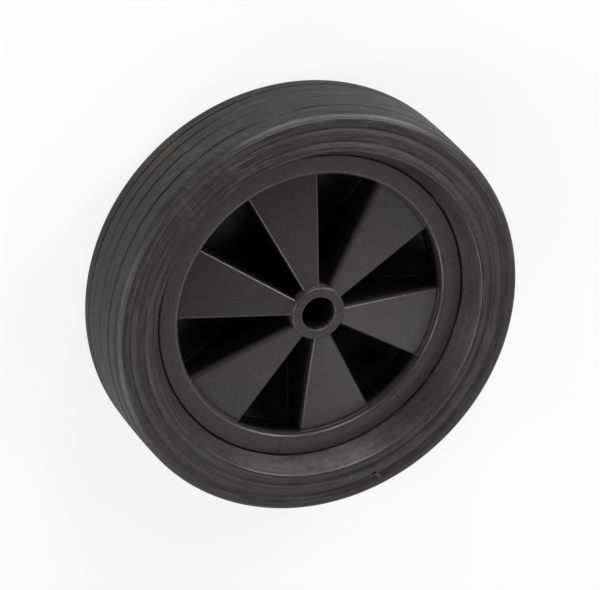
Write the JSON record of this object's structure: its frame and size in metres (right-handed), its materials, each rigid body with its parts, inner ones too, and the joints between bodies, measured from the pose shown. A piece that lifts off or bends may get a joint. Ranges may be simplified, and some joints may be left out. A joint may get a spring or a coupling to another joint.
{
  "type": "rubber-tyred wheel",
  "caption": "Solid rubber tyre on a one-piece moulded plastic wheel centre with alternating open pockets and a plain through bore.",
  "frame": {"origin": "middle of the wheel: on the axle bore's axis, halfway through the width", "axes": "+Z along the axle, out of the front face; +X through the middle of a front spoke panel; the wheel lies flat on its rear sidewall bead"},
  "size_m": [0.2, 0.2, 0.0492],
  "materials": {
    "tyre": "matt vulcanised rubber with a light bloom and fine scuffs",
    "wheel_centre": "fine satin moulded polypropylene"
  },
  "bodies": {
    "root": {"tyre": "tyre", "wheel_centre": "wheel_centre"}
  },
  "joints": []
}
